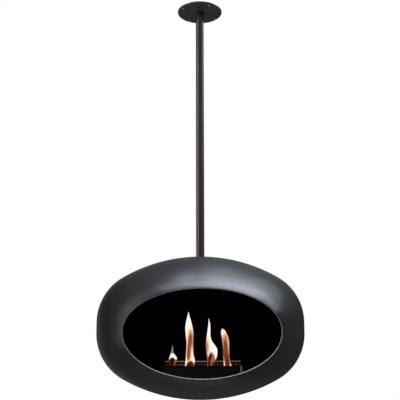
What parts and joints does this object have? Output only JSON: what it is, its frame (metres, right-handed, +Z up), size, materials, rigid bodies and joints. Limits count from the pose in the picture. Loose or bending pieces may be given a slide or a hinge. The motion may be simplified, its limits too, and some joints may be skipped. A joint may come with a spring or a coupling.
{
  "type": "hanging fireplace",
  "caption": "Hanging bioethanol fireplace: an oval steel dome with a wide front opening swivels under a slim ceiling pole and holds a lift-out burner with a sliding lid.",
  "frame": {"origin": "centre of the ceiling plate's top face, the face that lies against the ceiling", "axes": "+Z up towards the ceiling and along the pole, -Y towards the dome's opening at rest, +X to the right of someone who faces the opening"},
  "size_m": [0.6, 0.5638, 1.2193],
  "materials": {
    "plate_coat": "semi-gloss black powder coat",
    "pole_coat": "satin black powder coat",
    "dome_coat": "satin black heat-resistant powder coat, fine texture",
    "inner_coat": "matt black stove paint",
    "casing_coat": "matt black stove paint",
    "screw_steel": "zinc-plated steel",
    "plug_steel": "turned mild steel",
    "swivel_steel": "stainless steel",
    "bearing_plastic": "black acetal",
    "bush_bronze": "sintered bronze",
    "tank_steel": "stainless steel, heat tinted",
    "fibre": "white ceramic fibre",
    "lid_steel": "blackened stainless steel",
    "handle_steel": "brushed stainless steel"
  },
  "bodies": {
    "mast": {"ceiling_plate": "plate_coat", "ceiling_screws": "screw_steel", "pole_screw": "screw_steel", "pole_top_plug": "plug_steel", "pole_tube": "pole_coat", "pole_foot": "plug_steel", "swivel_stud": "swivel_steel", "top_washer": "bearing_plastic", "thrust_washer": "swivel_steel", "swivel_nut": "swivel_steel"},
    "dome": {"dome_upper": "dome_coat", "dome_lower": "dome_coat", "swivel_hub": "inner_coat", "swivel_bush": "bush_bronze", "shield_standoffs": "inner_coat", "heat_shield": "inner_coat", "shield_screws": "screw_steel", "tray_bosses": "inner_coat", "burner_tray": "inner_coat", "tray_screws": "screw_steel", "burner_clips": "inner_coat"},
    "burner": {"burner_casing": "casing_coat", "fuel_tank": "tank_steel", "fuel_wool": "fibre", "wool_grid": "tank_steel", "burner_deck": "casing_coat", "lid_rails": "casing_coat", "rail_rivets": "screw_steel"},
    "lid": {"lid_plate": "lid_steel", "lid_handle": "handle_steel", "handle_rivets": "screw_steel"}
  },
  "joints": [
    {"name": "dome_swivel", "type": "hinge", "parent": "mast", "child": "dome", "pos_m": [0, 0, -0.7796], "axis": [0, 0, 1], "continuous": true},
    {"name": "burner_lift", "type": "slide", "parent": "dome", "child": "burner", "axis": [0, 0, 1], "range_m": [0, 0.08]},
    {"name": "lid_slide", "type": "slide", "parent": "burner", "child": "lid", "axis": [0, -1, 0], "range_m": [0, 0.057]}
  ]
}
